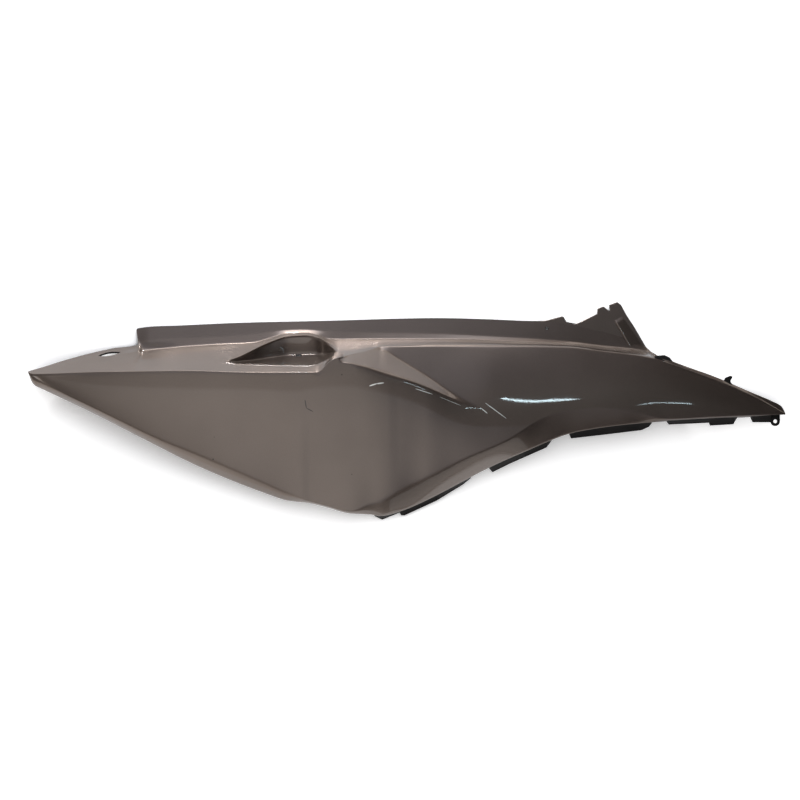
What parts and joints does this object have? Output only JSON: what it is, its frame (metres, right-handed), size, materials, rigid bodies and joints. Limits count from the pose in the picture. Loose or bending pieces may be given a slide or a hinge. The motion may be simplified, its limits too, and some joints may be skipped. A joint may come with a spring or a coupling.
{
  "type": "scooter side panel",
  "caption": "Long moulded side cover for a scooter's rear body, with a seat flange, a finger pocket in its shoulder and lips under its lower edge.",
  "frame": {"origin": "centre of the footprint, on the surface that the panel rests on with its painted face up", "axes": "+X to the tail, +Y to the seat, +Z out of the scooter, away from the hidden side"},
  "size_m": [0.832, 0.241, 0.066],
  "materials": {
    "metallic_paint": "metallic taupe paint under a gloss clear coat on moulded plastic, unpainted and darker inside"
  },
  "bodies": {
    "root": {"side_panel": "metallic_paint"}
  },
  "joints": []
}
